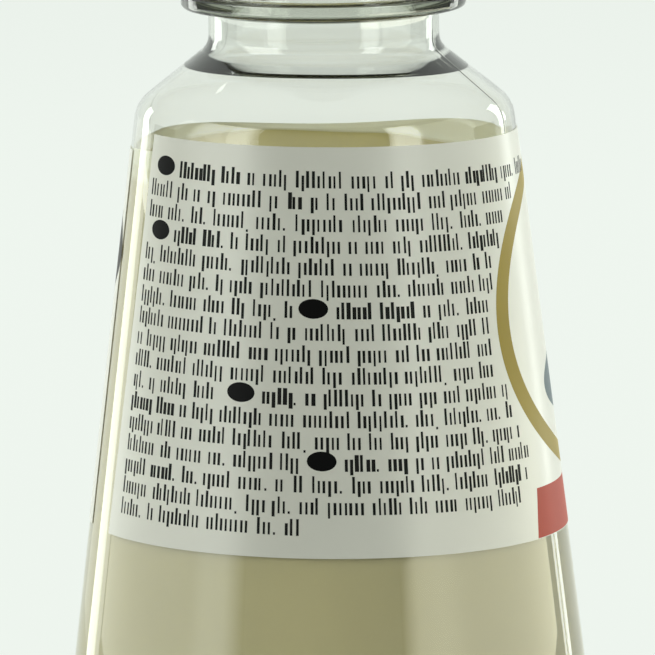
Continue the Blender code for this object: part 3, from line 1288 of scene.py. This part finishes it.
@dataclass(frozen=True)
class Softbox:
    """A rectangular lamp that faces the bottle, and lights matt surfaces only.

    Attributes:
        name: the lamp's name.
        azimuths: the lamp spans these azimuths as seen from the bottle's axis, in degrees.
        radiance: how bright its face looks.
        through: whether it is seen through clear plastic.
        heights: the heights of its lower and upper edge, in metres.
        distance: distance of its middle from the axis.
        colour: linear colour.
    """

    name: str
    azimuths: Pair
    radiance: float
    through: bool = True
    heights: Pair = (0.03, 0.73)
    distance: float = 0.9
    colour: Colour = LAMP_COLOUR

    def build(self) -> Item:
        """Place the lamp, upright, with its face towards the axis."""
        low, high = self.azimuths
        middle = math.radians((low + high) / 2)
        width = 2 * self.distance * math.tan(math.radians((high - low) / 2))
        height = self.heights[1] - self.heights[0]
        data = bpy.data.lights.new(self.name, "AREA")
        data.shape = "RECTANGLE"
        data.size, data.size_y = width, height
        data.energy = self.radiance * math.pi * width * height
        data.color = self.colour
        lamp = linked(self.name, data)
        place = around(np.array(self.distance), np.array(sum(self.heights) / 2), np.array(middle))
        lamp.location = place
        inwards = Vector((-place[0], -place[1], 0.0))
        lamp.rotation_euler = inwards.to_track_quat("-Z", "Y").to_euler()
        lamp.visible_camera = lamp.visible_glossy = False
        lamp.visible_transmission = self.through
        return lamp


@dataclass(frozen=True)
class Glow:
    """A bright panel, curved round the bottle, that only mirroring surfaces show.

    Attributes:
        name: the panel's name.
        profile: pairs of an azimuth, in degrees, and how bright the panel looks there.
        heights: its lower and upper edge, in metres.
        distance: its distance from the axis.
        lean: how far its upper edge is turned on from its lower one, in degrees.
        colour: linear colour.
        columns: places across it.
        rows: places up it.
        thickness: how thick the sheet is.
    """

    name: str
    profile: tuple[Pair, ...]
    heights: Pair
    distance: float
    lean: float = 0.0
    colour: Colour = LAMP_COLOUR
    columns: int = 61
    rows: int = 5
    thickness: float = 0.001

    def build(self) -> Item:
        """Make the panel as a thin sheet that glows by the profile, stored as an attribute of its points."""
        azimuths, levels = (np.array(part) for part in zip(*self.profile))
        across = np.linspace(azimuths[0], azimuths[-1], self.columns)
        up = np.linspace(1.0, 0.0, self.rows)[:, None]
        turns = np.radians(across + self.lean * up)
        heights = self.heights[0] + (self.heights[1] - self.heights[0]) * up
        black = {"Base Color": (0.0, 0.0, 0.0, 1.0), "Specular IOR Level": 0.0}
        material, shader = principled(self.name, {**black, "Emission Color": (*self.colour, 1.0)})
        stored = new_node(material.node_tree, "Attribute", attribute_name="glow")
        join(stored, "Fac", shader, "Emission Strength")
        panel = curved_panel(self.name, material, self.distance, self.thickness, heights, turns)
        glow = np.tile(np.interp(across, azimuths, levels), len(panel.data.vertices) // len(across))
        panel.data.attributes.new("glow", "FLOAT", "POINT").data.foreach_set("value", glow)
        for kind in ("camera", "diffuse", "transmission", "volume_scatter", "shadow"):
            setattr(panel, f"visible_{kind}", False)
        return panel


# Lower and upper edges that several panels share, in metres
FACE = (0.195, 0.75)
FOOT = (0.0, 0.195)
LOW = (0.0, 0.0728)
STRIP = (0.0, 0.11)
NECK_STRIP = (0.0925, 0.0985)

# A panel's own colour, and the profile of the longest one
WARM = (1.0, 1.0, 0.8)
STRIP_LEFT = ((-152, 1.2), (-138, 1.2), (-137, 4.2), (-128, 4.2), (-127, 2.3), (-123, 2.3))


@dataclass
class Studio:
    """Pale floor and tent, a dark card on the camera's side, lamps, and panels that only mirrors show.

    Attributes:
        pale: colour of the floor and the tent.
        glow: how brightly the floor glows.
        spill: share of the tent's and the floor's glow that lights matt surfaces.
        floor_grey: base colour of the floor.
        floor_reach: half the floor's width.
        card_grey: base colour of the card.
        card_glow: how brightly the card glows.
        card_reach: the card goes to this azimuth on both sides, in degrees.
        card_height: its height on the camera's side.
        card_end: its height at its ends.
        card_fall: it falls from the one height to the other between these azimuths.
        card_distance: its distance from the axis.
        card_lift: between the first two azimuths its foot is lifted by the third value.
        card_thickness: how thick it is.
        card_columns: places along it.
        lamps: the lamps.
        glows: the mirrored panels.
    """

    pale: Colour = (0.838, 0.896, 0.838)
    glow: float = 0.97
    spill: float = 0.25
    floor_grey: float = 0.06
    floor_reach: float = 6.0
    card_grey: float = 0.03
    card_glow: float = 0.3
    card_reach: float = 124.0
    card_height: float = 1.0
    card_end: float = 0.2
    card_fall: Pair = (84.0, 100.0)
    card_distance: float = 0.95
    card_lift: Triple = (40.0, 68.0, 0.03)
    card_thickness: float = 0.01
    card_columns: int = 125
    lamps: tuple[Softbox, ...] = (
        Softbox("softbox_left", (-61.0, -40.0), 2.7),
        Softbox("softbox_right", (39.0, 60.0), 2.7),
        Softbox("wall_left", (-104.0, -63.0), 1.2),
        Softbox("wall_right", (61.0, 104.0), 1.7),
        Softbox("wing_left", (-160.0, -104.0), 2.3, through=False),
        Softbox("wing_right", (104.0, 160.0), 2.3, through=False),
    )
    glows: tuple[Glow, ...] = (
        Glow("softbox_left_face", ((-90, 0), (-82, 4.4), (-62, 5.3), (-48, 5.3), (-41, 0)), FACE, 0.9),
        Glow("softbox_right_face", ((38, 0), (43, 5.3), (58, 5.3), (64, 0)), FACE, 0.9),
        Glow("side_left", ((-92, 0), (-86, 3.5), (-66, 3.5), (-63, 0)), (0.15, 0.195), 0.9),
        Glow("softbox_left_foot", ((-63, 0), (-60, 1.8), (-43, 1.8), (-40, 0)), FOOT, 0.9),
        Glow("softbox_right_foot", ((38, 0), (40, 1.8), (53, 1.8), (56, 0)), FOOT, 0.9),
        Glow("low_left", ((-124, 2.3), (-66, 2.2), (-58, 3.1), (-48, 3.1), (-38, 0)), LOW, 0.45),
        Glow("low_right", ((32, 0), (40, 3.75), (52, 4.5), (66, 3.55), (124, 3.45)), LOW, 0.45, colour=WARM),
        Glow("strip_left", STRIP_LEFT, STRIP, 0.3),
        Glow("strip_left_top", ((-138, 0), (-137, 4.2), (-128, 4.2), (-127, 0)), (0.11, 0.205), 0.3, -6.6),
        Glow("strip_left_wide", ((-127, 4.2), (-121, 4.2), (-119.5, 0)), NECK_STRIP, 0.298),
        Glow("strip_right", ((127, 0), (128, 4), (135.5, 4), (136.5, 0)), STRIP, 0.3),
        Glow("strip_right_top", ((125, 0), (126, 4.5), (137, 4.5), (138.5, 0)), (0.11, 0.245), 0.3, 2.0),
        Glow("strip_right_wide", ((119.5, 0), (121, 4), (127, 4)), NECK_STRIP, 0.298),
        Glow("spark_left", ((-131.3, 0), (-131.2, 4), (-130.8, 4), (-130.7, 0)), (0.446, 0.467), 0.3, 1.0),
    )

    def dimmed(self, tree: Tree, strength: float) -> Node:
        """Make a strength that falls to the spill's share where matt surfaces gather their light.

        Args:
            tree: the node tree that it goes in.
            strength: the strength that everything else sees.

        Returns:
            The node that puts it out, as Result.
        """
        share = new_node(tree, "MapRange", {"To Min": strength, "To Max": strength * self.spill})
        join(new_node(tree, "LightPath"), "Diffuse Depth", share, "Value")
        return share

    def glowing(self, name: str, grey: float, strength: float) -> Material:
        """Make a matt grey material that glows as the tent does.

        Args:
            name: the material's name.
            grey: base colour, which takes shadows.
            strength: how brightly it glows.

        Returns:
            The material.
        """
        matt = {"Base Color": (grey, grey, grey, 1.0), "Roughness": 1.0, "Specular IOR Level": 0.0}
        material, shader = principled(name, {**matt, "Emission Color": (*self.pale, 1.0)})
        join(self.dimmed(material.node_tree, strength), "Result", shader, "Emission Strength")
        return material

    def build_world(self) -> None:
        """The tent's pale cloth on all sides."""
        world = bpy.data.worlds.new("tent")
        bpy.context.scene.world = world
        world.use_nodes = True
        cloth = given(world.node_tree.nodes["Background"], {"Color": (*self.pale, 1.0)})
        join(self.dimmed(world.node_tree, 1.0), "Result", cloth, "Strength")

    def build(self) -> list[Item]:
        """Make the world, the floor, the dark card, the lamps and the mirrored panels."""
        self.build_world()
        signs = np.array([[-1.0, -1.0, 0.0], [1.0, -1.0, 0.0], [1.0, 1.0, 0.0], [-1.0, 1.0, 0.0]])
        corners = signs * self.floor_reach
        pale = self.glowing("pale_floor", self.floor_grey, self.glow)
        floor = mesh_object("floor", pale, corners, [[[0, 1, 2, 3]]], smooth=False)
        turns = np.linspace(-self.card_reach, self.card_reach, self.card_columns)[None, :]
        start, end, lift = self.card_lift
        foot = np.where((np.abs(turns) > start) & (np.abs(turns) < end), lift, 0.0)
        head = np.interp(np.abs(turns), self.card_fall, (self.card_height, self.card_end))
        heights = foot + (head - foot) * np.linspace(1.0, 0.0, 5)[:, None]
        dark = self.glowing("black_card", self.card_grey, self.card_glow)
        size = (self.card_distance, self.card_thickness)
        card = curved_panel("black_card", dark, *size, heights, np.radians(turns))
        card.visible_camera = False
        for lamp in self.lamps:
            lamp.build()
        return [floor, card, *(glow.build() for glow in self.glows)]


@dataclass(frozen=True)
class Camera:
    """Long lens from a little above, turned a little about its axis.

    Attributes:
        place: where it stands.
        aim: the point that it looks at.
        lens: focal length, in millimetres.
        sensor: width of its sensor, in millimetres.
        roll: how far it is turned about its axis, in degrees.
    """

    place: Triple = (0.0, -1.12, 0.257408)
    aim: Triple = (0.000136, 0.0, 0.082544)
    lens: float = 420.9
    sensor: float = 36.0
    roll: float = 0.53

    def build(self) -> Item:
        """Make the camera the scene's own."""
        data = bpy.data.cameras.new("camera")
        data.lens = self.lens
        data.sensor_width = self.sensor
        item = linked("camera", data)
        look = (Vector(self.aim) - Vector(self.place)).to_track_quat("-Z", "Y").to_matrix()
        turned = look @ Matrix.Rotation(math.radians(-self.roll), 3, "Z")
        item.matrix_world = Matrix.Translation(self.place) @ turned.to_4x4()
        bpy.context.scene.camera = item
        return item


PRINT_ROWS = (
    Row(83.5, -53.5, (9,)),
    Row(67.5, bold=(6,)),
    Row(61.5),
    Row(57.0, -53.5, (10,)),
    Row(54.0, bold=(9,)),
    Row(51.0),
    Row(49.5, -3.5),
    Row(48.5, bold=(5,)),
    Row(48.5, bold=(4,)),
    Row(50.0),
    Row(53.0, -22.5),
    Row(54.5, bold=(0, 1, 11)),
    Row(57.0),
    Row(61.0, -1.5),
    Row(58.5, bold=(1, 12)),
    Row(55.5),
    Row(-4.5),
)


def declare(item: Item) -> None:
    """Let a piece ride on the root body and report it.

    Args:
        item: the piece.
    """
    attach(item, "root")
    log.info("%s: %d faces", item.name, len(item.data.polygons))


def main() -> None:
    """Build the bottle, its contents, label and cap, the studio and the camera."""
    logging.basicConfig(level=logging.INFO, format="%(name)s: %(message)s")
    bottle = Bottle()
    clear = ClearPlastic("clear_bottle", (0.995, 0.998, 0.990), 0.02, clouds=0.0)
    shell = bottle.build(clear)
    declare(shell)
    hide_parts("bottle")

    cream = Cream("mayonnaise", (0.6, 0.545, 0.32), 0.45, clouds=0.03, cloud_scale=45.0, shine=0.12)
    contents = Contents(bottle).build(cream)
    declare(contents)
    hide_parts("mayonnaise")

    label = Label(bottle)
    white = LabelFilm("label_film", (0.86, 0.845, 0.755), 0.30, clouds=0.02, relief=0.004 * MM, shine=0.35)
    film = label.build_film(white)
    declare(film)
    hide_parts("label")
    small = SmallPrint(label, PRINT_ROWS)
    ring = Oval(101.4, 85.6 * MM, 27.4 * MM, 23.6 * MM)
    mark = Oval(101.4, 75.3 * MM, 14.6 * MM, 4.8 * MM)
    end_mark = Oval(-105.0, 94.3 * MM, 13.5 * MM, 7.0 * MM)
    prints = [
        small.build_bars(),
        *small.build_badges(),
        label.printed("emblem_ring", *ring.band(label, 3.1 * MM), Ink.GOLD, closed=True, shine=0.12),
        label.printed("emblem_mark", *mark.field(label), Ink.SLATE),
        label.printed("end_mark", *end_mark.field(label), Ink.TEXT),
        label.build_red_field(),
    ]
    for item in prints:
        declare(item)

    caps = Cap(bottle).build(Finish("cap", (0.80, 0.79, 0.73), 0.35, clouds=0.01, relief=0.003 * MM))
    for item in caps:
        declare(item)
    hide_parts("cap")

    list(Studio().build())
    Camera().build()
    scene = bpy.context.scene
    scene.view_settings.view_transform = "Standard"
    scene.cycles.max_bounces = 24
    scene.cycles.transmission_bounces = 20
    scene.cycles.transparent_max_bounces = 16


if __name__ == "__main__":
    main()
